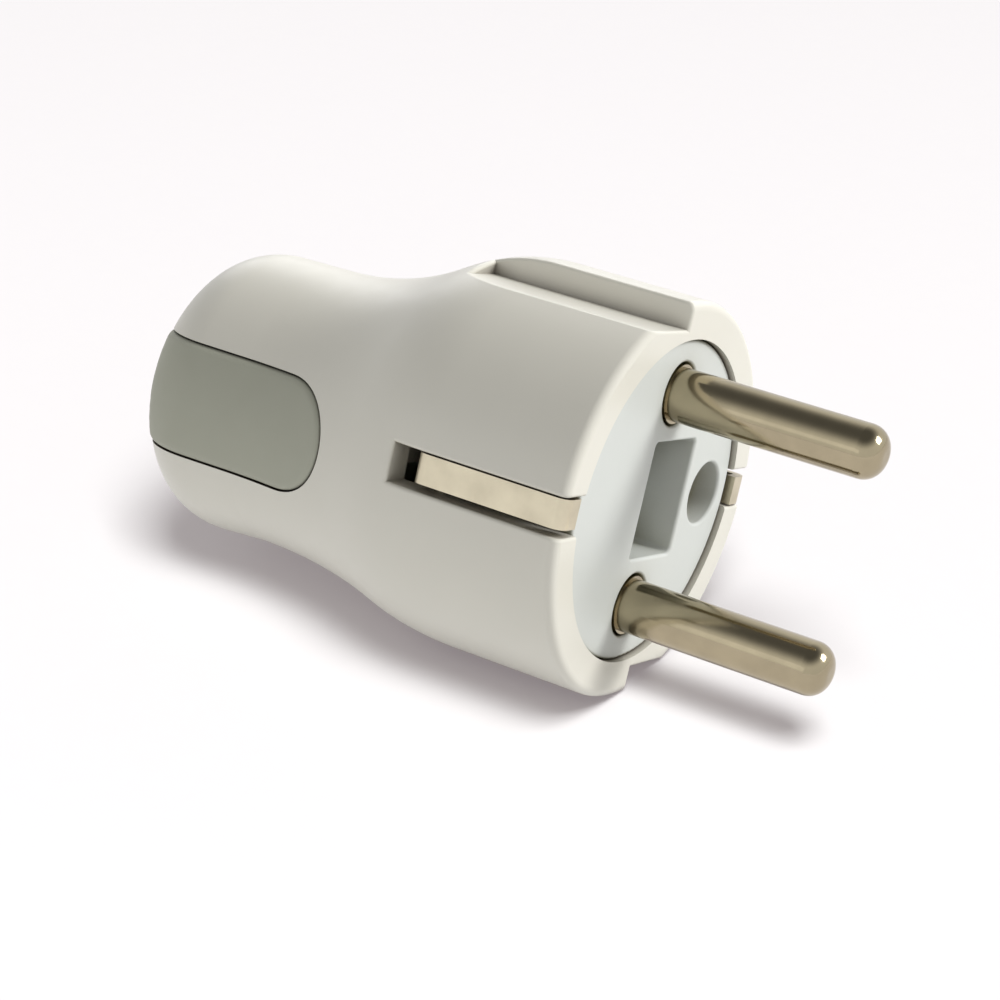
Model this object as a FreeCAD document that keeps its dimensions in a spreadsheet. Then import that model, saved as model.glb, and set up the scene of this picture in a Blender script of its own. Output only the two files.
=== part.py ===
import FreeCAD
import Part
import Sketcher
import os
import re

# Earthed plug with a waisted handle, in millimetres.
# X points out of the engagement face along the pins, and the origin is the middle of that face.
# The pieces are drawn with the plane of both pins upright. They are then turned together about X,
# because the plug lies on its lower guide notch.

SIZES = {
    # Moulded enclosure: a round head that flares, then sweeps in, to a handle dropped below the pins' axis
    "head_radius": 17.8,
    "head_run": 14.0,
    "flare_run": 8.0,
    "sweep_run": 14.0,
    "handle_radius": 13.0,
    "handle_drop": 1.6,
    "tail_run": 5.0,
    "tail_radius": 13.1,
    "tail_drop": 1.8,
    "tail_flat": 0.5,
    "tail_rounding": 6.5,
    "rim_rounding_share": 0.24,
    "edge_rounding_share": 0.12,
    "bore_radius": 14.5,
    "handle_wall": 2.4,
    # Guide notches of the head and slots for the earth strips
    "guide_half_width": 2.2,
    "guide_floor_share": 0.24,
    "guide_run": 19.5,
    "slot_length": 17.0,
    "slot_snug_gap": 0.15,
    "slot_wide_gap": 0.7,
    # Cable inlet, and the boss on a rib that takes the fixing screw
    "inlet_radius": 4.4,
    "inlet_chamfer": 0.8,
    "boss_radius": 3.6,
    "rib_setback": 4.1,
    "rib_length": 7.5,
    "rib_thickness": 2.5,
    # Soft inlays of the handle
    "pad_front": 25.9,
    "pad_height": 10.2,
    "pad_drop": 1.95,
    "pad_depth": 1.2,
    "pad_proud": 0.15,
    "pad_clearance": 0.15,
    # Contact carrier
    "carrier_clearance": 0.1,
    "face_recess": 0.5,
    "face_rounding": 0.3,
    "disc_thickness": 8.5,
    "pocket_reach": 2.1,
    "pocket_wall": 1.4,
    "pocket_depth": 7.0,
    "pocket_rounding": 0.5,
    "post_radius": 4.2,
    "arm_inner": 6.2,
    "arm_outer": 7.9,
    "arm_top": 5.0,
    "arm_bottom": 7.6,
    "tail_gap": 0.3,
    # Line pins with their terminals
    "pin_pitch": 19.0,
    "pin_radius": 2.4,
    "pin_length": 19.0,
    "pin_rounding": 1.9,
    "collar_radius": 2.65,
    "pin_gap": 0.2,
    "fit_gap": 0.1,
    "terminal_radius": 3.4,
    "terminal_length": 8.0,
    "wire_hole_radius": 1.5,
    "wire_hole_depth": 6.5,
    # Earth bracket, socket sleeve and earth terminal
    "earth_offset": 10.0,
    "earth_hole_radius": 2.85,
    "earth_lip": 2.5,
    "sleeve_radius": 3.2,
    "sleeve_bore": 2.42,
    "sleeve_end": 1.5,
    "rivet_radius": 1.8,
    "rivet_flare": 0.9,
    "rivet_head": 0.8,
    "strip_width": 2.6,
    "strip_thickness": 0.9,
    "strip_recess": 0.3,
    "strip_lip": 2.4,
    "strip_front_bend": 1.1,
    "strip_rear_bend": 1.1,
    "web_depth": 13.8,
    "plate_height": 6.8,
    "plate_margin": 3.0,
    "earth_screw_offset": 7.5,
    "washer_side": 6.8,
    "washer_thickness": 0.8,
    # Screws
    "earth_screw_radius": 1.9,
    "earth_screw_reach": 3.6,
    "earth_head_radius": 3.0,
    "earth_head_height": 2.0,
    "clamp_screw_radius": 1.2,
    "clamp_screw_reach": 4.0,
    "clamp_head_radius": 2.0,
    "clamp_head_height": 1.4,
    "terminal_screw_radius": 1.3,
    "terminal_screw_reach": 2.0,
    "terminal_head_radius": 2.2,
    "terminal_head_height": 1.6,
    "fixing_screw_radius": 1.5,
    "fixing_head_radius": 2.7,
    "fixing_head_height": 2.0,
    "fixing_grip": 9.0,
    "slit_width": 0.8,
    "slit_depth": 0.9,
    # Cable clamp
    "clamp_gap": 1.2,
    "clamp_length": 7.0,
    "clamp_screw_spread": 5.7,
    "clamp_end_gap": 0.8,
    "cable_radius": 3.6,
    "saddle_web": 1.2,
}

FLARE_END = "(head_run + flare_run)"
SWEEP_END = f"({FLARE_END} + sweep_run)"
TAIL_START = f"({SWEEP_END} + tail_run)"
BODY_LENGTH = f"({TAIL_START} + tail_flat + tail_rounding)"
GUIDE_FLOOR = "(bore_radius + guide_floor_share * (head_radius - bore_radius))"
RIM_ROUNDING = "(rim_rounding_share * (head_radius - bore_radius))"
EDGE_ROUNDING = f"(edge_rounding_share * (head_radius - {GUIDE_FLOOR}))"
REST_ROLL = f"((asin(guide_half_width / head_radius) + acos({GUIDE_FLOOR} / head_radius)) / 2)"
FAR = "2 * head_radius"
DISC_REAR = "(face_recess + disc_thickness)"
PIN_HOLE = "(collar_radius + pin_gap)"
POCKET_TOP = f"(pin_pitch / 2 - {PIN_HOLE} - pocket_wall)"
POCKET_RIGHT = "(earth_offset - earth_hole_radius - pocket_wall)"
POCKET_MIDDLE = f"(({POCKET_RIGHT} - pocket_reach) / 2)"
POCKET_FLOOR = "(face_recess + pocket_depth)"
WEB_REAR = "(web_depth + strip_thickness)"
RIB_FRONT = f"({WEB_REAR} + rib_setback)"
RIB_REAR = f"({RIB_FRONT} + rib_length)"
TERMINAL_REAR = f"({DISC_REAR} + terminal_length)"
STRIP_REACH = "(head_radius - strip_recess)"
LIP_END = f"({STRIP_REACH} - strip_lip)"
CLAMP_FRONT = f"({RIB_REAR} + clamp_gap)"
CLAMP_REAR = f"({CLAMP_FRONT} + clamp_length)"
CLAMP_MIDDLE = f"({CLAMP_FRONT} + clamp_length / 2)"
SADDLE_TOP = "(cable_radius + saddle_web - tail_drop)"
FULL_TURN = 360
SEAM_TURN = 90
CORNER_ANGLE = 0.3
TINY = 0.01

doc = FreeCAD.newDocument("earthed_plug")
sheet = doc.addObject("Spreadsheet::Sheet", "dims")
for row, (alias, size) in enumerate(SIZES.items(), start=1):
    sheet.set(f"A{row}", alias)
    sheet.set(f"B{row}", str(size))
    sheet.setAlias(f"B{row}", alias)
doc.recompute()

nodes = []


def sized(text):
    """Expression in which each size's name refers to its cell of the sheet."""
    return re.sub("[a-z_]+", lambda word: f"dims.{word[0]}" if word[0] in SIZES else word[0], text)


def worth(text):
    """Number that an expression of the sizes gives."""
    result = sheet.evalExpression(sized(text))
    return float(getattr(result, "Value", result))


def bind(item, target, text):
    """Ties a property of an object to an expression of the sizes."""
    item.setExpression(target, sized(text))


def plane_sketch(body, name, role, offset="0", turn=0):
    """Empty sketch on one of the body's own origin planes, moved along and turned about its normal."""
    sketch = body.newObject("Sketcher::SketchObject", name)
    plane = next(feature for feature in body.Origin.OriginFeatures if feature.Role == role)
    sketch.AttachmentSupport = (plane, "")
    sketch.MapMode = "FlatFace"
    normal = FreeCAD.Vector(0, 0, 1)
    sketch.AttachmentOffset = FreeCAD.Placement(FreeCAD.Vector(), FreeCAD.Rotation(normal, turn))
    bind(sketch, "AttachmentOffset.Base.z", offset)
    return sketch


def hold(sketch, kind, reference, text):
    """Dimensional constraint whose value is an expression of the sizes."""
    index = sketch.addConstraint(Sketcher.Constraint(kind, *reference, worth(text)))
    bind(sketch, f"Constraints[{index}]", text)


def hold_point(sketch, geometry, point, across, up):
    """Places one point of a sketch from the sketch's origin."""
    hold(sketch, "DistanceX", (-1, 1, geometry, point), across)
    hold(sketch, "DistanceY", (-1, 1, geometry, point), up)


def draw_circle(sketch, radius, across="0", up="0"):
    """Circle with its radius and centre held by the sizes."""
    centre = FreeCAD.Vector(worth(across), worth(up), 0)
    circle = sketch.addGeometry(Part.Circle(centre, FreeCAD.Vector(0, 0, 1), worth(radius)))
    hold(sketch, "Radius", (circle,), radius)
    hold_point(sketch, circle, 3, across, up)


def draw_outline(sketch, corners):
    """Closed outline of straight lines, with every corner held by the sizes."""
    places = [FreeCAD.Vector(worth(across), worth(up), 0) for across, up in corners]
    ends = places[1:] + places[:1]
    lines = [sketch.addGeometry(Part.LineSegment(*pair)) for pair in zip(places, ends)]
    for line, following in zip(lines, lines[1:] + lines[:1]):
        sketch.addConstraint(Sketcher.Constraint("Coincident", line, 2, following, 1))
    for line, (across, up) in zip(lines, corners):
        hold_point(sketch, line, 1, across, up)


def draw_rectangle(sketch, across, up):
    """Rectangle between two places across and two places up."""
    left, right = across
    low, high = up
    draw_outline(sketch, [(left, low), (right, low), (right, high), (left, high)])


def add_pad(body, sketch, length, symmetric=False):
    """Pads a sketch away from the engagement face, or to both sides of its plane."""
    feature = body.newObject("PartDesign::Pad", f"{sketch.Name}_pad")
    feature.Profile = sketch
    feature.Reversed = not symmetric
    feature.SideType = "Symmetric" if symmetric else "One side"
    bind(feature, "Length", length)
    doc.recompute()


def add_pocket(body, sketch, depth, forward=False):
    """Cuts a sketch away from the engagement face, or forward, and makes sure that it cuts."""
    before = body.Shape.Volume
    feature = body.newObject("PartDesign::Pocket", f"{sketch.Name}_pocket")
    feature.Profile = sketch
    feature.Reversed = forward
    bind(feature, "Length", depth)
    doc.recompute()
    if body.Shape.Volume > before - TINY:
        raise RuntimeError(f"{feature.Name} cuts nothing")


def round_edges(body, name, radius, chosen):
    """Fillets the edges of a body that a test picks."""
    base = body.Tip
    picked = [f"Edge{index}" for index, edge in enumerate(base.Shape.Edges, start=1) if chosen(edge)]
    feature = body.newObject("PartDesign::Fillet", name)
    feature.Base = (base, picked)
    bind(feature, "Radius", radius)
    doc.recompute()


def is_sharp(shape, edge):
    """Tells whether two faces of a shape meet at an edge in a corner, not in a smooth run."""
    faces = shape.ancestorsOfType(edge, Part.Face)
    middle = edge.valueAt(sum(edge.ParameterRange) / 2)
    normals = [face.normalAt(*face.Surface.parameter(middle)) for face in faces]
    return len(faces) == 2 and normals[0].getAngle(normals[1]) > CORNER_ANGLE


def turn_body(name, corners):
    """Body turned about X from an outline of places along the axis and radii."""
    body = doc.addObject("PartDesign::Body", name)
    sketch = plane_sketch(body, f"{name}_profile", "XY_Plane")
    draw_outline(sketch, corners)
    feature = body.newObject("PartDesign::Revolution", f"{name}_turning")
    feature.Profile = sketch
    feature.ReferenceAxis = (sketch, ["H_Axis"])
    feature.Angle = FULL_TURN
    doc.recompute()
    return body


def block(name, along, across, up):
    """Box between two places on each axis."""
    box = doc.addObject("Part::Box", name)
    for side, axis, (low, high) in zip(("Length", "Width", "Height"), "xyz", (along, across, up)):
        bind(box, side, f"({high}) - ({low})")
        bind(box, f"Placement.Base.{axis}", low)
    return box


def rod(name, radius, start, length, direction, base):
    """Cylinder along X or Y from a start on that axis, at two places on the other axes."""
    cylinder = doc.addObject("Part::Cylinder", name)
    turn = FreeCAD.Rotation(FreeCAD.Vector(0, 0, 1), direction)
    cylinder.Placement = FreeCAD.Placement(FreeCAD.Vector(), turn)
    bind(cylinder, "Radius", radius)
    bind(cylinder, "Height", length)
    main_axis = "x" if direction.x else "y"
    bind(cylinder, f"Placement.Base.{main_axis}", start)
    for axis, place in base.items():
        bind(cylinder, f"Placement.Base.{axis}", place)
    return cylinder


def combine(kind, name, *items):
    """Fuses all items, or cuts or intersects the first with the second."""
    result = doc.addObject(f"Part::{kind}", name)
    if kind == "MultiFuse":
        result.Shapes = list(items)
    else:
        result.Base, result.Tool = items
    return result


def seat(item, across="0", up="0", turn="0 deg"):
    """Places a piece from its own axes, with the whole plug rolled onto its lower guide notch."""
    item.Placement = FreeCAD.Placement(FreeCAD.Vector(), FreeCAD.Rotation(FreeCAD.Vector(-1, 0, 0), 1))
    bind(item, "Placement.Rotation.Angle", f"{turn} + {REST_ROLL}")
    bind(item, "Placement.Base.y", f"({across}) * cos({REST_ROLL}) + ({up}) * sin({REST_ROLL})")
    bind(item, "Placement.Base.z", f"({up}) * cos({REST_ROLL}) - ({across}) * sin({REST_ROLL})")


def finish_node(item, label):
    """Makes an object one of the plug's named pieces."""
    item.Label = label
    nodes.append(item)


def waisted_form(name, inset, limit="head_radius + pad_proud"):
    """Head and handle as one solid, drawn in from the outer skin by an inset and held in a limit.

    The flare and the sweep are two parabolas of equal slope where they meet, so a share tells how
    far each circle has passed from the head's circle to the handle's."""
    body = doc.addObject("PartDesign::Body", name)
    bend_share = "flare_run / (flare_run + sweep_run)"

    def circle_at(label, place, radius, drop):
        sketch = plane_sketch(body, f"{name}_{label}", "YZ_Plane", f"-({place})", SEAM_TURN)
        draw_circle(sketch, f"min({radius} - ({inset}); {limit})", f"-({drop})")
        return sketch

    def blend_at(label, place, share):
        radius = f"(head_radius + (handle_radius - head_radius) * ({share}))"
        return circle_at(label, place, radius, f"handle_drop * ({share})")

    def loft_through(label, *circles):
        loft = body.newObject("PartDesign::AdditiveLoft", f"{name}_{label}")
        loft.Profile = circles[0]
        loft.Sections = list(circles[1:])
        doc.recompute()

    add_pad(body, blend_at("face", "0", "0"), "head_run")
    bend = blend_at("bend", FLARE_END, bend_share)
    handle = blend_at("handle", SWEEP_END, "1")
    tail = circle_at("tail", TAIL_START, "tail_radius", "tail_drop")
    head = blend_at("head", "head_run", "0")
    flare_middle = blend_at("flare_middle", "head_run + flare_run / 2", f"{bend_share} / 4")
    sweep_share = f"1 - (1 - {bend_share}) / 4"
    sweep_middle = blend_at("sweep_middle", f"{FLARE_END} + sweep_run / 2", sweep_share)
    loft_through("flare", head, flare_middle, bend)
    loft_through("sweep", bend, sweep_middle, handle)
    loft_through("grip", handle, tail)
    add_pad(body, circle_at("end", TAIL_START, "tail_radius", "tail_drop"),
            f"tail_flat + tail_rounding - ({inset})")
    rear = -worth(f"{BODY_LENGTH} - ({inset})")
    at_tail = lambda edge: edge.BoundBox.XMax < rear + TINY
    round_edges(body, f"{name}_tail_rounding", f"tail_rounding - ({inset})", at_tail)
    return body


def make_cavity():
    """Hollow of the enclosure, less the rib and the boss that stand in it."""
    hollow = waisted_form("hollow", "handle_wall", "bore_radius")
    rib = block("rib", (f"-{RIB_REAR}", f"-{RIB_FRONT}"), (f"-{FAR}", FAR),
                ("-rib_thickness / 2", "rib_thickness / 2"))
    boss = rod("boss", "boss_radius", f"-{RIB_REAR}", f"{RIB_REAR} - {WEB_REAR}",
               FreeCAD.Vector(1, 0, 0), {"y": POCKET_MIDDLE})
    return combine("Cut", "cavity", hollow, combine("MultiFuse", "screw_post", rib, boss))


def make_side_cuts():
    """Guide notches and earth slots: each pair repeats after half a turn about the plug's axis."""
    cuts = []
    half_strip = "strip_width / 2"
    ahead = "head_radius"
    for side, sign in (("left", "-"), ("right", "")):
        outward = [f"{sign}(bore_radius - strip_thickness)", f"{sign}{FAR}"]
        notch_across = [f"{sign}guide_half_width", f"{sign}{FAR}"]
        notch_up = [GUIDE_FLOOR, FAR]
        slot_up = [f"-({half_strip} + slot_wide_gap)", f"{half_strip} + slot_snug_gap"]
        if side == "left":
            outward.reverse()
            notch_across.reverse()
        else:
            notch_up = [f"-{FAR}", f"-{GUIDE_FLOOR}"]
            slot_up = [f"-({half_strip} + slot_snug_gap)", f"{half_strip} + slot_wide_gap"]
        cuts.append(block(f"guide_notch_{side}", ("-guide_run", ahead), notch_across, notch_up))
        cuts.append(block(f"earth_slot_{side}", ("-slot_length", ahead), outward, slot_up))
    return cuts


def pad_prism(name, side, growth):
    """U-shaped prism that gives a pad or its recess its outline, on one side of the handle."""
    half = f"(pad_height / 2 + {growth})"
    bend = "(pad_front + pad_height / 2)"
    inner = f"(tail_radius - tail_rounding - {growth})"
    across = (f"-{FAR}", f"-{inner}") if side == "left" else (inner, FAR)
    bar = block(f"{name}_bar", (f"-({BODY_LENGTH} + head_radius)", f"-{bend}"), across,
                (f"-pad_drop - {half}", f"-pad_drop + {half}"))
    nose = rod(f"{name}_nose", half, across[0], f"({across[1]}) - ({across[0]})",
               FreeCAD.Vector(0, 1, 0), {"x": f"-{bend}", "z": "-pad_drop"})
    return combine("MultiFuse", name, bar, nose)


def make_pads_and_recesses():
    """Soft inlays that follow the handle's skin, and the cuts that take them."""
    skin = waisted_form("pad_skin", "-pad_proud")
    floor = waisted_form("pad_floor", "pad_depth")
    recesses = []
    for side in ("left", "right"):
        wider = pad_prism(f"recess_prism_{side}", side, "pad_clearance")
        recesses.append(combine("Cut", f"pad_recess_{side}", wider, floor))
        layer = combine("Common", f"pad_layer_{side}", skin, pad_prism(f"pad_prism_{side}", side, "0"))
        inlay = combine("Cut", f"pad_{side}", layer, floor)
        seat(inlay)
        finish_node(inlay, f"grip_pad_{side}")
    return recesses


def make_skin():
    """Outer form with its rim, notches and slots, and every edge that they leave on it rounded."""
    form = waisted_form("outer", "0")
    at_rim = lambda edge: edge.BoundBox.XMin > -TINY
    round_edges(form, "outer_rim_rounding", RIM_ROUNDING, at_rim)
    for cut in make_side_cuts():
        form = combine("Cut", f"outer_less_{cut.Name}", form, cut)
    doc.recompute()
    skin = doc.addObject("PartDesign::Body", "skin")
    skin.BaseFeature = form
    doc.recompute()
    base = skin.Tip.Shape
    corner = FreeCAD.Vector(0, worth("guide_half_width"), worth(GUIDE_FLOOR))

    def on_skin(edge):
        ends = [FreeCAD.Vector(0, vertex.Y, vertex.Z) for vertex in edge.Vertexes]
        return min(end.Length for end in ends) > corner.Length + TINY and is_sharp(base, edge)

    round_edges(skin, "skin_edge_rounding", EDGE_ROUNDING, on_skin)
    return skin


def make_enclosure():
    """One-piece moulded body: rim, waisted handle, notches, slots, recesses, boss and cable inlet."""
    forward = FreeCAD.Vector(1, 0, 0)
    inlet = rod("inlet", "inlet_radius", f"-({BODY_LENGTH} + tail_rounding)", "2 * tail_rounding",
                forward, {"z": "-tail_drop"})
    mouth = doc.addObject("Part::Cone", "inlet_mouth")
    turn = FreeCAD.Rotation(FreeCAD.Vector(0, 0, 1), forward)
    mouth.Placement = FreeCAD.Placement(FreeCAD.Vector(), turn)
    bind(mouth, "Radius1", "inlet_radius + 2 * inlet_chamfer")
    bind(mouth, "Radius2", "inlet_radius")
    bind(mouth, "Height", "2 * inlet_chamfer")
    bind(mouth, "Placement.Base.x", f"-({BODY_LENGTH} + inlet_chamfer)")
    bind(mouth, "Placement.Base.z", "-tail_drop")
    screw_hole = rod("boss_hole", "fixing_screw_radius + fit_gap / 2", f"-{RIB_REAR}",
                     f"{RIB_REAR} - {WEB_REAR}", forward, {"y": POCKET_MIDDLE})
    shell = combine("Cut", "shell", make_skin(), make_cavity())
    cuts = make_pads_and_recesses() + [inlet, mouth, screw_hole]
    for cut in cuts:
        shell = combine("Cut", f"enclosure_less_{cut.Name}", shell, cut)
    seat(shell)
    finish_node(shell, "enclosure")


def make_carrier():
    """Face piece with its pocket and holes, the posts behind it and the tail with the cable cradle."""
    body = doc.addObject("PartDesign::Body", "carrier_form")
    face = plane_sketch(body, "carrier_disc", "YZ_Plane", "-face_recess")
    draw_circle(face, "bore_radius - carrier_clearance")
    add_pad(body, face, "disc_thickness")
    for name, across in (("fixing_post", POCKET_MIDDLE), ("earth_post", "earth_offset")):
        sketch = plane_sketch(body, name, "YZ_Plane", f"-{DISC_REAR}")
        draw_circle(sketch, "post_radius", across)
        add_pad(body, sketch, f"web_depth - {DISC_REAR}")
    for name, across in (("arm_left", ("-arm_outer", "-arm_inner")),
                         ("arm_right", ("arm_inner", "arm_outer"))):
        sketch = plane_sketch(body, name, "YZ_Plane", f"-{DISC_REAR}")
        draw_rectangle(sketch, across, ("-arm_bottom", "-arm_top"))
        add_pad(body, sketch, f"{CLAMP_REAR} - {DISC_REAR}")
    cradle = plane_sketch(body, "cradle", "YZ_Plane", f"-{CLAMP_FRONT}")
    draw_rectangle(cradle, ("-arm_outer", "arm_outer"), ("-arm_bottom", "-tail_drop"))
    add_pad(body, cradle, "clamp_length")

    pocket = plane_sketch(body, "face_pocket", "YZ_Plane", "-face_recess")
    draw_rectangle(pocket, ("-pocket_reach", POCKET_RIGHT), (f"-{POCKET_TOP}", POCKET_TOP))
    add_pocket(body, pocket, "pocket_depth")
    as_deep = lambda edge: abs(edge.BoundBox.XLength - worth("pocket_depth")) < TINY
    round_edges(body, "pocket_corner_rounding", "pocket_rounding", as_deep)
    for name, radius, across, up in (
            ("upper_pin_hole", PIN_HOLE, "0", "pin_pitch / 2"),
            ("lower_pin_hole", PIN_HOLE, "0", "-pin_pitch / 2"),
            ("fixing_hole", "fixing_screw_radius + fit_gap", POCKET_MIDDLE, "0"),
            ("earth_hole", "earth_hole_radius", "earth_offset", "0")):
        sketch = plane_sketch(body, name, "YZ_Plane", "-face_recess")
        draw_circle(sketch, radius, across, up)
        add_pocket(body, sketch, "web_depth")
    at_face = lambda edge: edge.BoundBox.XMin > -worth("face_recess") - TINY
    round_edges(body, "carrier_face_rounding", "face_rounding", at_face)
    sleeve_seat = plane_sketch(body, "sleeve_seat", "YZ_Plane", "-web_depth")
    draw_circle(sleeve_seat, "sleeve_radius + fit_gap", "earth_offset")
    add_pocket(body, sleeve_seat, "web_depth - face_recess - earth_lip", forward=True)
    trough = plane_sketch(body, "cable_trough", "YZ_Plane", f"-{CLAMP_FRONT}")
    draw_circle(trough, "cable_radius", "0", "-tail_drop")
    add_pocket(body, trough, "clamp_length")
    holes = plane_sketch(body, "clamp_holes", "XY_Plane", "-tail_drop")
    for across in ("-clamp_screw_spread", "clamp_screw_spread"):
        draw_circle(holes, "clamp_screw_radius + fit_gap / 2", f"-{CLAMP_MIDDLE}", across)
    add_pocket(body, holes, "clamp_screw_reach")
    room = waisted_form("carrier_room", "handle_wall + tail_gap", "bore_radius - carrier_clearance")
    carrier = combine("Common", "carrier", body, room)
    seat(carrier)
    finish_node(carrier, "contact_carrier")


def make_pins():
    """Two turned pins, each with a rounded tip, a collar in the face and a drilled terminal."""
    collar_front = "-face_recess"
    hole_end = f"-({TERMINAL_REAR} - wire_hole_depth)"
    for place, up, turn in (("upper", "pin_pitch / 2", "0 deg"), ("lower", "-pin_pitch / 2", "180 deg")):
        body = turn_body(f"pin_{place}", [
            ("pin_length", "0"),
            ("pin_length", "pin_radius"),
            (collar_front, "pin_radius"),
            (collar_front, "collar_radius"),
            (f"-{DISC_REAR}", "collar_radius"),
            (f"-{DISC_REAR}", "terminal_radius"),
            (f"-{TERMINAL_REAR}", "terminal_radius"),
            (f"-{TERMINAL_REAR}", "wire_hole_radius"),
            (hole_end, "wire_hole_radius"),
            (hole_end, "0"),
        ])
        at_tip = lambda edge: edge.BoundBox.XMin > worth("pin_length") - TINY
        round_edges(body, f"pin_{place}_tip", "pin_rounding", at_tip)
        hole = plane_sketch(body, f"pin_{place}_screw_hole", "XZ_Plane", "0")
        draw_circle(hole, "terminal_screw_radius + fit_gap", f"-({DISC_REAR} + terminal_length / 2)")
        add_pocket(body, hole, "2 * terminal_radius", forward=True)
        seat(body, "0", up, turn)
        finish_node(body, f"line_pin_{place}")


def make_screw(name, shank, reach, head, height):
    """Slotted cheese-head screw along X: the head lies behind the seat plane and the shank before it."""
    body = turn_body(name, [
        (reach, "0"),
        (reach, shank),
        ("0", shank),
        ("0", head),
        (f"-{height}", head),
        (f"-{height}", "0"),
    ])
    slit = plane_sketch(body, f"{name}_slit", "YZ_Plane", f"-{height}")
    draw_rectangle(slit, (f"-2 * {head}", f"2 * {head}"), ("-slit_width / 2", "slit_width / 2"))
    add_pocket(body, slit, "slit_depth", forward=True)
    return body


def aim(item, place, direction):
    """Places a screw by its seat plane, along a direction of the upright plug, rolled with the plug."""
    roll = FreeCAD.Rotation(FreeCAD.Vector(1, 0, 0), -worth(REST_ROLL))
    point = FreeCAD.Vector(*(worth(text) for text in place))
    turn = FreeCAD.Rotation(FreeCAD.Vector(1, 0, 0), direction)
    item.Placement = FreeCAD.Placement(roll.multVec(point), roll.multiply(turn))


def group_node(label, items):
    """Several like pieces as one node of separate solids."""
    group = doc.addObject("Part::Compound", f"{label}_group")
    group.Links = items
    finish_node(group, label)


def make_screws():
    """Terminal, earth, clamp and fixing screws at their seats."""
    terminal_middle = f"-({DISC_REAR} + terminal_length / 2)"
    terminal = []
    clamps = []
    for side, sign in (("upper", 1), ("lower", -1)):
        screw = make_screw(f"terminal_screw_{side}", "terminal_screw_radius", "terminal_screw_reach",
                           "terminal_head_radius", "terminal_head_height")
        place = (terminal_middle, f"{-sign} * terminal_radius", f"{sign} * pin_pitch / 2")
        aim(screw, place, FreeCAD.Vector(0, sign, 0))
        terminal.append(screw)
    for side, sign in (("left", -1), ("right", 1)):
        screw = make_screw(f"clamp_screw_{side}", "clamp_screw_radius",
                           f"clamp_screw_reach + {SADDLE_TOP} + tail_drop - clamp_end_gap",
                           "clamp_head_radius", "clamp_head_height")
        place = (f"-{CLAMP_MIDDLE}", f"{sign} * clamp_screw_spread", SADDLE_TOP)
        aim(screw, place, FreeCAD.Vector(0, 0, -1))
        clamps.append(screw)
    group_node("terminal_screws", terminal)
    group_node("clamp_screws", clamps)

    earth = make_screw("earth_terminal", "earth_screw_radius", "earth_screw_reach",
                       "earth_head_radius", "earth_head_height")
    aim(earth, (f"-({WEB_REAR} + washer_thickness)", "-earth_screw_offset", "0"), FreeCAD.Vector(1, 0, 0))
    finish_node(earth, "earth_screw")
    fixing = make_screw("fixing", "fixing_screw_radius", f"{WEB_REAR} + fixing_grip - {POCKET_FLOOR}",
                        "fixing_head_radius", "fixing_head_height")
    aim(fixing, (f"-{POCKET_FLOOR}", POCKET_MIDDLE, "0"), FreeCAD.Vector(-1, 0, 0))
    finish_node(fixing, "fixing_screw")


def make_earth_bracket():
    """Folded strip: two side arms with front lips, and a web with a wider plate behind the carrier."""
    body = doc.addObject("PartDesign::Body", "bracket")
    strip = plane_sketch(body, "strip", "XY_Plane")
    inside = f"({STRIP_REACH} - strip_thickness)"
    half = [("0", LIP_END), ("0", STRIP_REACH), (f"-{WEB_REAR}", STRIP_REACH)]
    inner_half = [("-web_depth", inside), ("-strip_thickness", inside), ("-strip_thickness", LIP_END)]
    mirrored = [(along, f"-{across}") for along, across in half]
    inner_mirrored = [(along, f"-{across}") for along, across in inner_half]
    draw_outline(strip, half + mirrored[::-1] + inner_mirrored[::-1] + inner_half)
    add_pad(body, strip, "strip_width", symmetric=True)

    def upright_at(along, across):
        spot = FreeCAD.Vector(worth(along), worth(across), 0)

        def chosen(edge):
            box = edge.BoundBox
            near = abs(box.Center.x - spot.x) + abs(abs(box.Center.y) - spot.y) < TINY
            return near and box.ZLength > TINY
        return chosen

    round_edges(body, "front_bend", "strip_front_bend", upright_at("0", STRIP_REACH))
    round_edges(body, "front_bend_inside", "strip_front_bend - strip_thickness",
                upright_at("-strip_thickness", inside))
    round_edges(body, "rear_bend", "strip_rear_bend", upright_at(f"-{WEB_REAR}", STRIP_REACH))
    round_edges(body, "rear_bend_inside", "strip_rear_bend - strip_thickness",
                upright_at("-web_depth", inside))
    plate = plane_sketch(body, "plate", "YZ_Plane", "-web_depth")
    draw_rectangle(plate, ("-(earth_screw_offset + earth_screw_radius + plate_margin)",
                           "earth_offset + plate_margin"), ("-plate_height / 2", "plate_height / 2"))
    add_pad(body, plate, "strip_thickness")
    holes = plane_sketch(body, "plate_holes", "YZ_Plane", "-web_depth")
    draw_circle(holes, "fixing_screw_radius + fit_gap", POCKET_MIDDLE)
    draw_circle(holes, "earth_screw_radius + fit_gap", "-earth_screw_offset")
    draw_circle(holes, "rivet_radius + fit_gap / 2", "earth_offset")
    add_pocket(body, holes, "strip_thickness")
    seat(body)
    finish_node(body, "earth_bracket")


def make_earth_socket():
    """Turned sleeve for a socket's earth pin, closed behind and riveted through the bracket's plate."""
    front = "-(face_recess + earth_lip)"
    rivet_rear = f"-({WEB_REAR} + rivet_head)"
    body = turn_body("sleeve", [
        (front, "sleeve_bore"),
        (front, "sleeve_radius"),
        ("-web_depth", "sleeve_radius"),
        ("-web_depth", "rivet_radius"),
        (f"-{WEB_REAR}", "rivet_radius"),
        (f"-{WEB_REAR}", "rivet_radius + rivet_flare"),
        (rivet_rear, "rivet_radius + rivet_flare"),
        (rivet_rear, "0"),
        ("-(web_depth - sleeve_end)", "0"),
        ("-(web_depth - sleeve_end)", "sleeve_bore"),
    ])
    seat(body, "earth_offset", "0")
    finish_node(body, "earth_socket")


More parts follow.
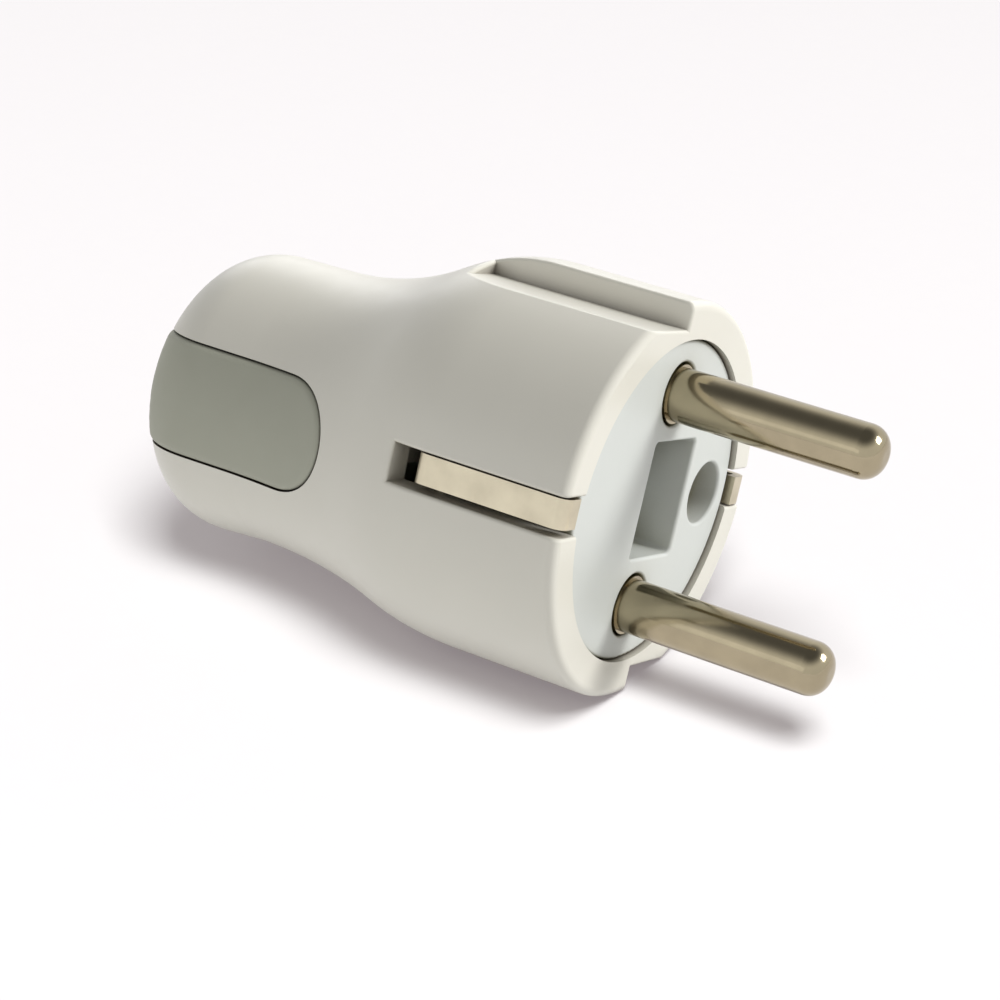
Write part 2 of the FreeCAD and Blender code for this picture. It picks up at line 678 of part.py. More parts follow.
def make_earth_washer():
    """Square clamp washer under the earth screw's head."""
    body = doc.addObject("PartDesign::Body", "washer")
    square = plane_sketch(body, "washer_square", "YZ_Plane", f"-{WEB_REAR}")
    draw_rectangle(square, ("-washer_side / 2", "washer_side / 2"), ("-washer_side / 2", "washer_side / 2"))
    draw_circle(square, "earth_screw_radius + fit_gap")
    add_pad(body, square, "washer_thickness")
    seat(body, "-earth_screw_offset", "0")
    finish_node(body, "earth_washer")


def make_saddle():
    """Upper half of the cable clamp, arched over the cable and drilled for its screws."""
    body = doc.addObject("PartDesign::Body", "saddle")
    arch = plane_sketch(body, "saddle_block", "YZ_Plane", f"-{CLAMP_FRONT}")
    draw_rectangle(arch, ("-arm_outer", "arm_outer"), ("-tail_drop", SADDLE_TOP))
    add_pad(body, arch, "clamp_length")
    along_x = lambda edge: edge.BoundBox.XLength > worth("clamp_length") - TINY
    top_corner = lambda edge: along_x(edge) and edge.BoundBox.ZMin > worth(SADDLE_TOP) - TINY
    round_edges(body, "saddle_rounding", "saddle_web", top_corner)
    trough = plane_sketch(body, "saddle_trough", "YZ_Plane", f"-{CLAMP_FRONT}")
    draw_circle(trough, "cable_radius", "0", "-tail_drop")
    add_pocket(body, trough, "clamp_length")
    holes = plane_sketch(body, "saddle_holes", "XY_Plane", SADDLE_TOP)
    for across in ("-clamp_screw_spread", "clamp_screw_spread"):
        draw_circle(holes, "clamp_screw_radius + fit_gap", f"-{CLAMP_MIDDLE}", across)
    add_pocket(body, holes, f"{SADDLE_TOP} + tail_drop")
    seat(body)
    finish_node(body, "cable_saddle")


def write_parts():
    """Writes each piece once every object of the document has been built without a fault."""
    doc.recompute()
    faults = [item.Name for item in doc.Objects if {"Invalid", "Error"} & set(item.State)]
    faults += [node.Label for node in nodes if node.Shape.isNull() or not node.Shape.isValid()]
    if faults:
        raise RuntimeError(f"not built: {faults}")
    os.makedirs("parts", exist_ok=True)
    for node in nodes:
        node.Shape.exportStep(f"parts/{node.Label}.step")


make_enclosure()
make_carrier()
make_pins()
make_earth_bracket()
make_earth_socket()
make_earth_washer()
make_saddle()
make_screws()
write_parts()
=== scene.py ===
"""Dresses a straight earthed mains plug, fits its soft grips and sets it on a pale studio floor.

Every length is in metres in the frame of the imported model. X points out of the engagement face along
the pins, and the plug lies on its lower guide notch.
"""

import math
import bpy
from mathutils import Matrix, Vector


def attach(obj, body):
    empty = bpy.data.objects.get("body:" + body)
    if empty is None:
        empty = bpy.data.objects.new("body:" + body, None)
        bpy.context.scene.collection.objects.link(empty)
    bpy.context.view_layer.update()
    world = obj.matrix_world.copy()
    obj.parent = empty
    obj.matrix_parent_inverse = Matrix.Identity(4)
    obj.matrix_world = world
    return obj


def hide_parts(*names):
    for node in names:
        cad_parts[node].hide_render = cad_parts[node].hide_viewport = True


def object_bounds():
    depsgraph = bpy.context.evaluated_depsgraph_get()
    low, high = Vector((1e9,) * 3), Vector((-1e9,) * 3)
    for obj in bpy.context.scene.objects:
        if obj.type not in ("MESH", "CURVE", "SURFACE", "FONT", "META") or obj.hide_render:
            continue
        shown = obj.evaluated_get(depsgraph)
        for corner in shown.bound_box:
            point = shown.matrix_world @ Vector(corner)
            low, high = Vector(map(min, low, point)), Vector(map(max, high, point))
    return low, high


bl_info = {
    "name": "Earthed Plug",
    "version": (1, 0, 0),
    "blender": (4, 5, 0),
    "location": "View3D > Sidebar > Plug",
    "description": "Dresses a straight earthed mains plug and fits its soft grips",
    "category": "Object",
}

import bmesh
import bpy
from mathutils import Matrix, Vector

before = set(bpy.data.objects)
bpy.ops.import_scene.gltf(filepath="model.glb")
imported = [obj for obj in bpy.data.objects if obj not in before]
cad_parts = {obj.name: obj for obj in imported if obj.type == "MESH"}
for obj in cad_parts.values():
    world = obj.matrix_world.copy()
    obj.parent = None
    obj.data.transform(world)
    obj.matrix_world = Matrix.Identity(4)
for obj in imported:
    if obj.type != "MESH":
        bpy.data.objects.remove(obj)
CAD_LOW, CAD_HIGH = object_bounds()
MM = 0.001
SRGB_KNEE = 0.04045


def linear(hex_colour):
    """Linear RGB of an sRGB hex colour."""
    parts = [int(hex_colour[start:start + 2], 16) / 255 for start in (0, 2, 4)]
    return [part / 12.92 if part <= SRGB_KNEE else ((part + 0.055) / 1.055) ** 2.4 for part in parts]


def length(name, description, millimetres):
    """Length property with its default in millimetres."""
    return bpy.props.FloatProperty(name=name, description=description, default=millimetres * MM,
                                   subtype="DISTANCE", unit="LENGTH", precision=5)


def colour(name, description, hex_colour):
    """Colour property with its default as sRGB hex."""
    return bpy.props.FloatVectorProperty(name=name, description=description, default=linear(hex_colour),
                                         subtype="COLOR", size=3, min=0.0, max=1.0)


def angle(name, description, degrees):
    """Angle property with its default in degrees."""
    return bpy.props.FloatProperty(name=name, description=description, default=math.radians(degrees),
                                   subtype="ANGLE")


class PlugFinishSettings(bpy.types.PropertyGroup):
    """Colours of the plug's materials."""

    enclosure: colour("Enclosure", "Moulded plastic of the head and the handle", "E8E5D9")
    face: colour("Face", "Moulded plastic of the contact carrier", "D8DBD6")
    grip: colour("Grips", "Soft elastomer of the grip inlays", "B3B4A4")
    pins: colour("Pins", "Nickel plating of the line pins", "ABA086")
    earth: colour("Earth strips", "Tin plating of the earth contacts", "D6CDB5")
    screws: colour("Screws", "Zinc plating of the screws", "BEC1C3")


class PlugGripSettings(bpy.types.PropertyGroup):
    """Outline of a grip inlay, and the run of the handle's skin under it."""

    roll: angle("Roll", "Lean of the pins' plane about X when the plug lies on its notch", 18.942)
    front: length("Front", "Distance of the inlay's round front from the engagement face", 25.9)
    half_height: length("Half height", "Half of the inlay's height", 5.1)
    drop: length("Drop", "Drop of the inlay's middle below the pins' axis", 1.95)
    proud: length("Proud", "Height of the inlay's middle over the handle's skin", 0.15)
    sink: length("Sink", "Depth of the inlay's rolled edge under the handle's skin", 0.3)
    edge: length("Edge", "Width of the inlay's rolled edge", 0.65)
    depth: length("Depth", "Depth of the inlay's underside under the handle's skin", 1.15)
    flare_start: length("Flare start", "Place where the head starts to flare in", 14.0)
    sweep_start: length("Sweep start", "Place where the handle sweeps in from the head's flare", 22.0)
    sweep_end: length("Sweep end", "Place where the sweep meets the handle", 36.0)
    head_radius: length("Head radius", "Radius of the head", 17.8)
    handle_radius: length("Handle radius", "Radius of the handle where the sweep ends", 13.0)
    handle_drop: length("Handle drop", "Drop of the handle's middle where the sweep ends", 1.6)
    tail_start: length("Tail start", "Place where the handle reaches its tail", 41.0)
    tail_flat: length("Tail flat", "Straight run of the tail before its rounding", 0.5)
    tail_radius: length("Tail radius", "Radius of the handle's tail", 13.1)
    tail_drop: length("Tail drop", "Drop of the tail's middle", 1.8)
    tail_rounding: length("Tail rounding", "Radius of the tail's rounded end", 6.5)


class PlugStageSettings(bpy.types.PropertyGroup):
    """Floor, camera and lights of the studio."""

    paper: colour("Paper", "Grey white paper of the floor, which its own lamp brings to white", "B0B0B0")
    shadow: colour("Shadow", "Tone that the eye still sees in the floor's deepest shadow", "827A7C")
    camera_azimuth: angle("Camera azimuth", "Direction of the camera about the vertical, from +X", -59.3)
    camera_elevation: angle("Camera elevation", "Height of the camera above the horizon", 27.77)
    camera_roll: angle("Camera roll", "Lean of the camera about its own axis", 3.08)
    camera_distance: length("Camera distance", "Distance from the camera to its target", 246.03)
    camera_target: bpy.props.FloatVectorProperty(
        name="Camera target", description="Point in the middle of the view",
        default=(-11.67 * MM, -7.22 * MM, -0.49 * MM), subtype="XYZ", unit="LENGTH")
    lens: bpy.props.FloatProperty(
        name="Lens", description="Focal length on a 36 mm sensor, in millimetres", default=102.76)
    room_light: bpy.props.FloatProperty(
        name="Room light", description="Share of the white walls' light that falls on the plug",
        default=0.64, subtype="FACTOR", min=0.0, max=1.0)
    back_light: bpy.props.FloatProperty(
        name="Back light", description="Brightness that the back softbox gives a white surface",
        default=0.18)
    gloss_light: bpy.props.FloatProperty(
        name="Gloss light", description="Strength of the back panel that shows only in the plastics",
        default=0.4)
    face_light: bpy.props.FloatProperty(
        name="Face light", description="Brightness that the face softbox gives a white surface",
        default=0.72)
    front_light: bpy.props.FloatProperty(
        name="Front light", description="Brightness that the front strip gives a white surface",
        default=0.025)
    floor_light: bpy.props.FloatProperty(
        name="Floor light", description="Brightness that the overhead lamp gives white paper",
        default=1.8)


def add_node(tree, kind, settings=None, sockets=None):
    """Adds a node, sets its properties, and gives each named socket a value or a link."""
    node = tree.nodes.new(kind)
    for name, value in (settings or {}).items():
        setattr(node, name, value)
    for name, value in (sockets or {}).items():
        if isinstance(value, bpy.types.NodeSocket):
            tree.links.new(value, node.inputs[name])
        else:
            node.inputs[name].default_value = value
    return node


def start_material(name):
    """Empty material with its tree and the coordinates of the row's frame, in metres."""
    material = bpy.data.materials.new(name)
    material.use_nodes = True
    tree = material.node_tree
    tree.nodes.clear()
    place = add_node(tree, "ShaderNodeTexCoord").outputs["Object"]
    return material, tree, place


# Most values of a noise lie between these two.
NOISE_LOW, NOISE_HIGH = 0.32, 0.68
CLOUD_MM, CLOUD_SHADE = 11.0, 0.975
SPECK_MM, SPECK_SPREAD = 1.6, 0.08
GRAIN_STRENGTH = 0.5
# Shares of open space at which a gap has all of its painted shade, and none.
GAP_CLOSED, GAP_OPEN = 0.1, 0.8
GAP_RAYS = 8


def moulded_plastic(name, rgb, roughness, grain_mm, grain_depth_mm, ior, gap_mm, gap_shade_hex):
    """Injection-moulded plastic: an even body colour with a fine satin grain from the mould.

    The eye sees soft broad highlights, a faint cloudiness where the melt cooled unevenly, a barely
    visible grain, and painted shade in narrow gaps, where the colour darkens towards a gap tone as
    ambient occlusion finds less open space. The grain is drawn coarser than the real one so that it
    shows."""
    material, tree, place = start_material(name)
    cloud = add_node(tree, "ShaderNodeTexNoise", None,
                     {"Vector": place, "Scale": 1 / (CLOUD_MM * MM), "Detail": 3.0})
    cloud_share = add_node(tree, "ShaderNodeMapRange", None,
                           {"Value": cloud.outputs["Fac"], "From Min": NOISE_LOW, "From Max": NOISE_HIGH})
    body = add_node(tree, "ShaderNodeMixRGB", None,
                    {"Fac": cloud_share.outputs["Result"], "Color2": [*rgb, 1.0],
                     "Color1": [*(part * CLOUD_SHADE for part in rgb), 1.0]})
    speck = add_node(tree, "ShaderNodeTexNoise", None,
                     {"Vector": place, "Scale": 1 / (SPECK_MM * MM), "Detail": 4.0})
    gloss = add_node(tree, "ShaderNodeMapRange", None,
                     {"Value": speck.outputs["Fac"], "From Min": NOISE_LOW, "From Max": NOISE_HIGH,
                      "To Min": roughness * (1 - SPECK_SPREAD), "To Max": roughness * (1 + SPECK_SPREAD)})
    grain = add_node(tree, "ShaderNodeTexNoise", None,
                     {"Vector": place, "Scale": 1 / (grain_mm * MM), "Detail": 2.0})
    bump = add_node(tree, "ShaderNodeBump", None,
                    {"Height": grain.outputs["Fac"], "Strength": GRAIN_STRENGTH,
                     "Distance": grain_depth_mm * MM})
    # Painted shade: ambient occlusion darkens the body colour towards the gap tone in gaps and recesses.
    clear = add_node(tree, "ShaderNodeAmbientOcclusion", {"samples": GAP_RAYS}, {"Distance": gap_mm * MM})
    open_share = add_node(tree, "ShaderNodeMapRange", None,
                          {"Value": clear.outputs["AO"], "From Min": GAP_CLOSED, "From Max": GAP_OPEN})
    gap_shaded = add_node(tree, "ShaderNodeMixRGB", None,
                      {"Fac": open_share.outputs["Result"], "Color1": [*linear(gap_shade_hex), 1.0],
                       "Color2": body.outputs["Color"]})
    shader = add_node(tree, "ShaderNodeBsdfPrincipled", None,
                      {"Base Color": gap_shaded.outputs["Color"], "Roughness": gloss.outputs["Result"],
                       "IOR": ior, "Normal": bump.outputs["Normal"]})
    add_node(tree, "ShaderNodeOutputMaterial", None, {"Surface": shader.outputs["BSDF"]})
    return material


LINE_LENGTH_MM = 5.0
LINE_STRENGTH = 0.3
LINE_DEPTH_SHARE = 0.03
WEAR_MM, WEAR_SHADE, WEAR_SPREAD = 2.5, 0.88, 0.22


def plated_metal(name, rgb, roughness, line_mm, along):
    """Plated metal with fine tool lines across one axis, and a plating dulled in patches by use.

    The eye sees streaked reflections of the room, a little darker where the plating is thin. The
    tool lines are drawn coarser than the real ones so that they show."""
    material, tree, place = start_material(name)
    stretch = [1 / (LINE_LENGTH_MM * MM)] * 3
    stretch["xyz".index(along)] = 1 / (line_mm * MM)
    lines_at = add_node(tree, "ShaderNodeVectorMath", {"operation": "MULTIPLY"}, {0: place, 1: stretch})
    lines = add_node(tree, "ShaderNodeTexNoise", None,
                     {"Vector": lines_at.outputs["Vector"], "Scale": 1.0, "Detail": 3.0})
    bump = add_node(tree, "ShaderNodeBump", None,
                    {"Height": lines.outputs["Fac"], "Strength": LINE_STRENGTH,
                     "Distance": line_mm * MM * LINE_DEPTH_SHARE})
    wear = add_node(tree, "ShaderNodeTexNoise", None,
                    {"Vector": place, "Scale": 1 / (WEAR_MM * MM), "Detail": 4.0})
    wear_share = add_node(tree, "ShaderNodeMapRange", None,
                          {"Value": wear.outputs["Fac"], "From Min": NOISE_LOW, "From Max": NOISE_HIGH})
    plating = add_node(tree, "ShaderNodeMixRGB", None,
                       {"Fac": wear_share.outputs["Result"], "Color2": [*rgb, 1.0],
                        "Color1": [*(part * WEAR_SHADE for part in rgb), 1.0]})
    gloss = add_node(tree, "ShaderNodeMapRange", None,
                     {"Value": wear_share.outputs["Result"], "To Min": roughness * (1 + WEAR_SPREAD),
                      "To Max": roughness * (1 - WEAR_SPREAD)})
    shader = add_node(tree, "ShaderNodeBsdfPrincipled", None,
                      {"Base Color": plating.outputs["Color"], "Metallic": 1.0,
                       "Roughness": gloss.outputs["Result"], "Normal": bump.outputs["Normal"]})
    add_node(tree, "ShaderNodeOutputMaterial", None, {"Surface": shader.outputs["BSDF"]})
    return material


def dress(material, *nodes):
    """Gives carried CAD nodes their one material."""
    for node in nodes:
        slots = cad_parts[node].data.materials
        slots.clear()
        slots.append(material)


class PLUG_OT_enclosure(bpy.types.Operator):
    """Gives the moulded enclosure its white plastic"""

    bl_idname = "plug.enclosure"
    bl_label = "Enclosure"

    def execute(self, context):
        # ABS from a polished mould: warm white with broad soft gloss, brown painted shade deep in its
        # slots.
        plastic = moulded_plastic("abs_moulded_white", context.scene.plug_finish.enclosure,
                                  roughness=0.35, grain_mm=0.22, grain_depth_mm=0.003, ior=1.54,
                                  gap_mm=2.6, gap_shade_hex="4E4034")
        dress(plastic, "enclosure")
        return {"FINISHED"}


class PLUG_OT_face(bpy.types.Operator):
    """Gives the contact carrier and the cable saddle their white plastic"""

    bl_idname = "plug.face"
    bl_label = "Face"

    def execute(self, context):
        # Polyamide from an eroded mould: cooler white, almost matt, olive painted shade deep in its
        # pocket.
        plastic = moulded_plastic("polyamide_moulded_white", context.scene.plug_finish.face,
                                  roughness=0.45, grain_mm=0.18, grain_depth_mm=0.008, ior=1.53,
                                  gap_mm=5.0, gap_shade_hex="6E6B50")
        dress(plastic, "contact_carrier", "cable_saddle")
        return {"FINISHED"}


# Steps of an inlay's mesh: over its rolled edge, round its front, along a side and down its rear end.
RIM_STEPS, NOSE_STEPS, SIDE_STEPS, END_STEPS = 9, 24, 44, 10
# Insets of the rings inside the rolled edge, as shares of the inlay's half height.
RING_INSETS = (0.2, 0.4, 0.6, 0.8, 0.97)


def skin_point(grip, run, up, rise):
    """Point over the handle's left skin in the upright plug, at a run along its outline and a height."""
    bend = grip.tail_start + grip.tail_flat
    turn = (run - bend) / grip.tail_rounding
    along, radius, drop = run, grip.tail_radius + rise, grip.tail_drop
    if turn > 0:
        rounding = grip.tail_rounding + rise
        along = bend + rounding * math.sin(turn)
        radius = grip.tail_radius - grip.tail_rounding + rounding * math.cos(turn)
    elif run < grip.sweep_end:
        flare_share = (grip.sweep_start - grip.flare_start) / (grip.sweep_end - grip.flare_start)
        left = (grip.sweep_end - run) / (grip.sweep_end - grip.sweep_start)
        share = 1 - (1 - flare_share) * left ** 2
        radius = grip.head_radius + (grip.handle_radius - grip.head_radius) * share + rise
        drop = grip.handle_drop * share
    elif run < grip.tail_start:
        share = (run - grip.sweep_end) / (grip.tail_start - grip.sweep_end)
        radius = grip.handle_radius + (grip.tail_radius - grip.handle_radius) * share + rise
        drop = grip.handle_drop + (grip.tail_drop - grip.handle_drop) * share
    across = math.sqrt(max(radius ** 2 - (up + drop) ** 2, 0.0))
    return Vector((-along, -across, up))


def run_end(grip, up):
    """Run at which the inlay ends on the tail's rounding, at a height of the upright plug."""
    inner = grip.tail_radius - grip.tail_rounding
    radius = math.hypot(inner, up + grip.tail_drop)
    turn = math.acos(min((radius - inner) / grip.tail_rounding, 1.0))
    return grip.tail_start + grip.tail_flat + grip.tail_rounding * turn


def grip_ring(grip, inset, rise):
    """Closed ring of the inlay: lower side forward, round front, upper side back, rear end down."""
    half = grip.half_height - inset
    middle = grip.front + grip.half_height
    spots = []
    low_end = run_end(grip, -grip.drop - half) - inset
    high_end = run_end(grip, -grip.drop + half) - inset
    for step in range(SIDE_STEPS):
        spots.append((low_end + (middle - low_end) * step / SIDE_STEPS, -half))
    for step in range(NOSE_STEPS + 1):
        turn = math.pi * step / NOSE_STEPS
        spots.append((middle - half * math.sin(turn), -half * math.cos(turn)))
    for step in range(1, SIDE_STEPS + 1):
        spots.append((middle + (high_end - middle) * step / SIDE_STEPS, half))
    for step in range(1, END_STEPS):
        up = half * (1 - 2 * step / END_STEPS)
        spots.append((run_end(grip, up - grip.drop) - inset, up))
    return [skin_point(grip, run, up - grip.drop, rise) for run, up in spots]


def grip_rings(grip):
    """Rings of the inlay from the middle of its underside, over its rolled edge, to its top's middle."""
    rings = [grip_ring(grip, grip.half_height * share, -grip.depth) for share in RING_INSETS[::-1]]
    rings.append(grip_ring(grip, 0.0, -grip.depth))
    for step in range(RIM_STEPS + 1):
        turn = 0.5 * math.pi * step / RIM_STEPS
        rise = -grip.sink + (grip.proud + grip.sink) * math.sin(turn)
        rings.append(grip_ring(grip, grip.edge * (1 - math.cos(turn)), rise))
    rings += [grip_ring(grip, grip.half_height * share, grip.proud) for share in RING_INSETS]
    return rings


def grip_mesh(name, grip, side):
    """Closed mesh of one inlay, rolled with the plug onto its lower notch."""
    shape = bmesh.new()
    roll = Matrix.Rotation(-grip.roll, 3, "X")
    rings = []
    for ring in grip_rings(grip):
        rings.append([shape.verts.new(roll @ Vector((spot.x, spot.y * side, spot.z))) for spot in ring])
    count = len(rings[0])
    for lower, upper in zip(rings, rings[1:]):
        for start in range(count):
            after = (start + 1) % count
            shape.faces.new((lower[start], lower[after], upper[after], upper[start]))
    for ring in (rings[0], rings[-1]):
        nose = SIDE_STEPS + NOSE_STEPS // 2
        rear = 2 * SIDE_STEPS + NOSE_STEPS
        pairs = list(zip(ring[:nose], ring[rear:nose:-1]))
        for (low, high), (next_low, next_high) in zip(pairs, pairs[1:]):
            shape.faces.new((low, next_low, next_high, high))
        shape.faces.new((*pairs[-1], ring[nose]))
        shape.faces.new(ring[rear:] + ring[:1])
    bmesh.ops.recalc_face_normals(shape, faces=shape.faces)
    mesh = bpy.data.meshes.new(name)
    shape.to_mesh(mesh)
    shape.free()
    mesh.shade_smooth()
    return mesh


class PLUG_OT_grips(bpy.types.Operator):
    """Fits the two soft grip inlays, with rolled edges, into the recesses of the handle"""

    bl_idname = "plug.grips"
    bl_label = "Grips"

    def execute(self, context):
        grip = context.scene.plug_grip
        # Thermoplastic elastomer from a matt mould: soft grey, dull sheen, painted shade darkening it
        # along its seam.
        elastomer = moulded_plastic("elastomer_moulded_grey", context.scene.plug_finish.grip,
                                    roughness=0.62, grain_mm=0.3, grain_depth_mm=0.012, ior=1.5,
                                    gap_mm=0.6, gap_shade_hex="5A584E")
        for side_name, side in (("left", 1), ("right", -1)):
            name, node = f"grip_inlay_{side_name}", f"grip_pad_{side_name}"
            mesh = grip_mesh(name, grip, side)
            mesh.materials.append(elastomer)
            inlay = bpy.data.objects.new(name, mesh)
            context.scene.collection.objects.link(inlay)
            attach(inlay, "root")
            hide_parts(node)
        return {"FINISHED"}


class PLUG_OT_metal(bpy.types.Operator):
    """Gives the pins, the earth contacts and the screws their plated metal"""

    bl_idname = "plug.metal"
    bl_label = "Metal pieces"

    def execute(self, context):
        finish = context.scene.plug_finish
        # Brass turned on a lathe, nickel plated: warm mirror with light and dark bands along the pin.
        nickel = plated_metal("brass_turned_nickel_plated", finish.pins,
                              roughness=0.13, line_mm=0.12, along="x")
        dress(nickel, "line_pin_upper", "line_pin_lower")
        # Brass rolled into strip, tin plated: pale and soft, with faint lines from the rolls.
        tin = plated_metal("brass_rolled_tin_plated", finish.earth,
                           roughness=0.38, line_mm=0.15, along="z")
        dress(tin, "earth_bracket", "earth_socket")
        # Steel turned on a lathe, zinc plated: cool grey with a broken shine.
        zinc = plated_metal("steel_turned_zinc_plated", finish.screws,
                            roughness=0.22, line_mm=0.2, along="x")
        dress(zinc, "earth_washer", "earth_screw", "fixing_screw", "terminal_screws", "clamp_screws")
        return {"FINISHED"}


def seen_rays(tree):
    """One where a ray comes from the camera, a reflection or a refraction, and zero elsewhere."""
    rays = add_node(tree, "ShaderNodeLightPath")
    seen = rays.outputs["Is Camera Ray"]
    for kind in ("Is Glossy Ray", "Is Transmission Ray"):
        seen = add_node(tree, "ShaderNodeMath", {"operation": "MAXIMUM"},
                        {0: seen, 1: rays.outputs[kind]}).outputs["Value"]
    return seen


FLOOR_REACH_M = 4.0
FIBRE_MM, FIBRE_SHADE = 2.0, 0.985
BOUNCE_SHARE = 0.8


def white_floor(scene, stage):
    """Matt white paper that meets the eye as white where it is lit, and as mauve grey in shadow.

    It throws a smaller share of its light back onto the plug than the eye sees."""
    material, tree, place = start_material("paper_matt_white")
    fibre = add_node(tree, "ShaderNodeTexNoise", None,
                     {"Vector": place, "Scale": 1 / (FIBRE_MM * MM), "Detail": 2.0})
    sheet = add_node(tree, "ShaderNodeMixRGB", None,
                     {"Fac": fibre.outputs["Fac"], "Color2": [*stage.paper, 1.0],
                      "Color1": [*(part * FIBRE_SHADE for part in stage.paper), 1.0]})
    seen = seen_rays(tree)
    bounce = add_node(tree, "ShaderNodeMapRange", None,
                      {"Value": seen, "To Min": BOUNCE_SHARE, "To Max": 1.0})
    shown = add_node(tree, "ShaderNodeVectorMath", {"operation": "SCALE"},
                     {0: sheet.outputs["Color"], "Scale": bounce.outputs["Result"]})
    paper = add_node(tree, "ShaderNodeBsdfDiffuse", None, {"Color": shown.outputs["Vector"]})
    glow = add_node(tree, "ShaderNodeEmission", None,
                    {"Color": [*stage.shadow, 1.0], "Strength": seen})
    both = add_node(tree, "ShaderNodeAddShader", None,
                    {0: paper.outputs["BSDF"], 1: glow.outputs["Emission"]})
    add_node(tree, "ShaderNodeOutputMaterial", None, {"Surface": both.outputs["Shader"]})
    mesh = bpy.data.meshes.new("floor")
    far, level = FLOOR_REACH_M, CAD_LOW.z
    corners = [(-far, -far, level), (far, -far, level), (far, far, level), (-far, far, level)]
    mesh.from_pydata(corners, [], [(0, 1, 2, 3)])
    mesh.materials.append(material)
    floor = bpy.data.objects.new("floor", mesh)
    scene.collection.objects.link(floor)
    return floor


# Heights, as sines of the elevation, where the walls start to darken and where the ceiling is reached.
WALL_TOP, CEILING = 0.45, 0.95
CEILING_SHADE = 0.15


def white_room(scene, share):
    """White walls all round under a dark ceiling: the walls light the plug by a share."""
    world = bpy.data.worlds.new("studio")
    scene.world = world
    world.use_nodes = True
    tree = world.node_tree
    tree.nodes.clear()
    towards = add_node(tree, "ShaderNodeTexCoord").outputs["Generated"]
    height = add_node(tree, "ShaderNodeSeparateXYZ", None, {"Vector": towards}).outputs["Z"]
    walls = add_node(tree, "ShaderNodeMapRange", {"interpolation_type": "SMOOTHSTEP"},
                     {"Value": height, "From Min": WALL_TOP, "From Max": CEILING,
                      "To Min": 1.0, "To Max": CEILING_SHADE})
    strength = add_node(tree, "ShaderNodeMapRange", None,
                        {"Value": seen_rays(tree), "To Min": share, "To Max": 1.0})
    light = add_node(tree, "ShaderNodeBackground", None,
                     {"Color": walls.outputs["Result"], "Strength": strength.outputs["Result"]})
    add_node(tree, "ShaderNodeOutputWorld", None, {"Surface": light.outputs["Background"]})


def softbox(scene, name, brightness, place, sides, shuns=(), lights_only=(), shines=False):
    """Soft lamp that lights only some objects, or all but some, and may show in gloss.

    The brightness is what it gives a white surface that faces it at the plug."""
    lamp = bpy.data.lights.new(name, "AREA")
    lamp.shape = "RECTANGLE"
    lamp.size, lamp.size_y = sides
    lamp.energy = brightness * math.pi ** 2 * Vector(place).length_squared
    light = bpy.data.objects.new(name, lamp)
    scene.collection.objects.link(light)
    light.location = place
    light.rotation_euler = light.location.to_track_quat("Z", "Y").to_euler()
    light.visible_glossy = shines
    light.visible_camera = False
    lit = bpy.data.collections.new(f"{name}_lit")
    for item in (*shuns, *lights_only):
        lit.objects.link(item)
    for entry in lit.collection_objects:
        entry.light_linking.link_state = "INCLUDE" if lights_only else "EXCLUDE"
    light.light_linking.receiver_collection = lit
    return light


SENSOR_MM = 36.0
CLIP_START_M = 0.01


def place_camera(scene, stage):
    """Camera at the viewing angle of the photograph."""
    camera = bpy.data.cameras.new("camera")
    camera.lens = stage.lens
    camera.sensor_width = SENSOR_MM
    camera.clip_start = CLIP_START_M
    holder = bpy.data.objects.new("camera", camera)
    scene.collection.objects.link(holder)
    level = math.cos(stage.camera_elevation)
    back = Vector((level * math.cos(stage.camera_azimuth), level * math.sin(stage.camera_azimuth),
                   math.sin(stage.camera_elevation)))
    right = Vector((0, 0, 1)).cross(back).normalized()
    turn = Matrix((right, back.cross(right), back)).transposed()
    lean = Matrix.Rotation(stage.camera_roll, 3, "Z")
    place = Vector(stage.camera_target) + back * stage.camera_distance
    holder.matrix_world = Matrix.LocRotScale(place, (turn @ lean).to_quaternion(), None)
    scene.camera = holder


# Places and sides of the lamps, in metres. Each lamp faces the origin.
BACK_PLACE, BACK_SIDES = (-0.1, 0.75, 0.62), (0.7, 0.7)
GLOSS_PLACE, GLOSS_SIDES = (-0.25, 0.9, 0.3), (1.5, 0.6)
FACE_PLACE, FACE_SIDES = (0.75, 0.45, 0.55), (0.35, 0.35)
# The spark stands in front of the face softbox, so that a reflected ray meets it first.
SPARK_PLACE, SPARK_SIDES = (0.72, 0.43, 0.53), (0.34, 0.34)
OVERHEAD_PLACE, OVERHEAD_SIDES = (0.72, -0.75, 2.0), (0.9, 0.9)
FRONT_PLACE, FRONT_SIDES = (-0.5, -0.85, 0.35), (1.2, 0.25)


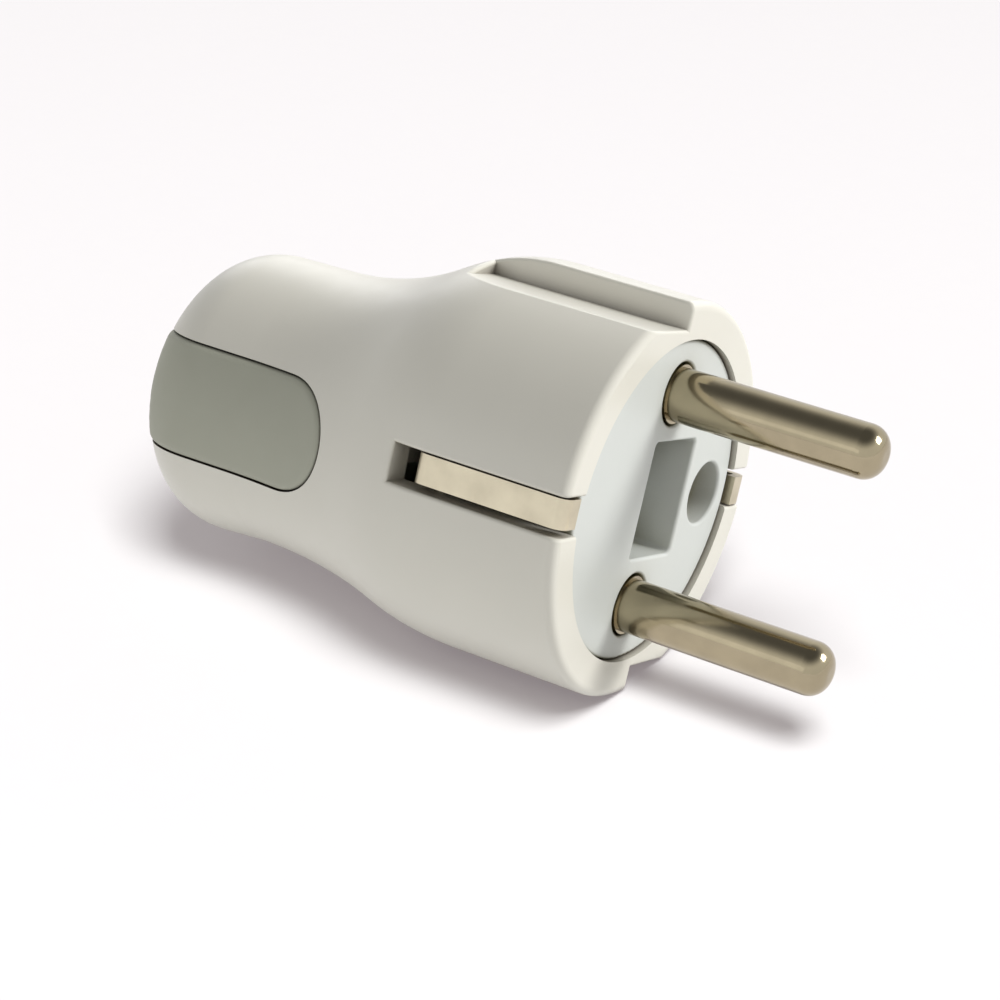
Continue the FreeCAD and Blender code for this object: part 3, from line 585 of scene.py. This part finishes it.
class PLUG_OT_stage(bpy.types.Operator):
    """Sets the floor, the room, the lamps and the camera"""

    bl_idname = "plug.stage"
    bl_label = "Stage"

    def execute(self, context):
        scene = context.scene
        stage = scene.plug_stage
        floor = white_floor(scene, stage)
        white_room(scene, stage.room_light)
        pins = [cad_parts["line_pin_upper"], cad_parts["line_pin_lower"]]
        no_panel = [floor, *pins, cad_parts["earth_bracket"]]
        softbox(scene, "back_softbox", stage.back_light, BACK_PLACE, BACK_SIDES, [floor])
        panel = softbox(scene, "gloss_panel", stage.gloss_light, GLOSS_PLACE, GLOSS_SIDES,
                        no_panel, shines=True)
        panel.visible_diffuse = False
        softbox(scene, "face_softbox", stage.face_light, FACE_PLACE, FACE_SIDES, [floor])
        softbox(scene, "pin_spark", stage.face_light, SPARK_PLACE, SPARK_SIDES,
                lights_only=pins, shines=True)
        softbox(scene, "floor_lamp", stage.floor_light, OVERHEAD_PLACE, OVERHEAD_SIDES,
                lights_only=[floor])
        softbox(scene, "front_strip", stage.front_light, FRONT_PLACE, FRONT_SIDES, [floor], shines=True)
        place_camera(scene, stage)
        scene.view_settings.view_transform = "Standard"
        return {"FINISHED"}


class PLUG_PT_panel(bpy.types.Panel):
    """Lists the steps that dress the plug"""

    bl_idname = "PLUG_PT_panel"
    bl_label = "Earthed plug"
    bl_space_type = "VIEW_3D"
    bl_region_type = "UI"
    bl_category = "Plug"

    def draw(self, context):
        for operator in OPERATORS:
            self.layout.operator(operator.bl_idname)


OPERATORS = (PLUG_OT_enclosure, PLUG_OT_face, PLUG_OT_grips, PLUG_OT_metal, PLUG_OT_stage)
SETTINGS = {
    "plug_finish": PlugFinishSettings,
    "plug_grip": PlugGripSettings,
    "plug_stage": PlugStageSettings,
}
CLASSES = (*SETTINGS.values(), *OPERATORS, PLUG_PT_panel)


def register():
    """Adds the classes and the settings to Blender."""
    for item in CLASSES:
        bpy.utils.register_class(item)
    for name, kind in SETTINGS.items():
        setattr(bpy.types.Scene, name, bpy.props.PointerProperty(type=kind))


def unregister():
    """Takes the settings and the classes away again."""
    for name in SETTINGS:
        delattr(bpy.types.Scene, name)
    for item in reversed(CLASSES):
        bpy.utils.unregister_class(item)


def main():
    register()
    bpy.ops.plug.enclosure()
    bpy.ops.plug.face()
    bpy.ops.plug.grips()
    bpy.ops.plug.metal()
    bpy.ops.plug.stage()


if __name__ == "__main__":
    main()
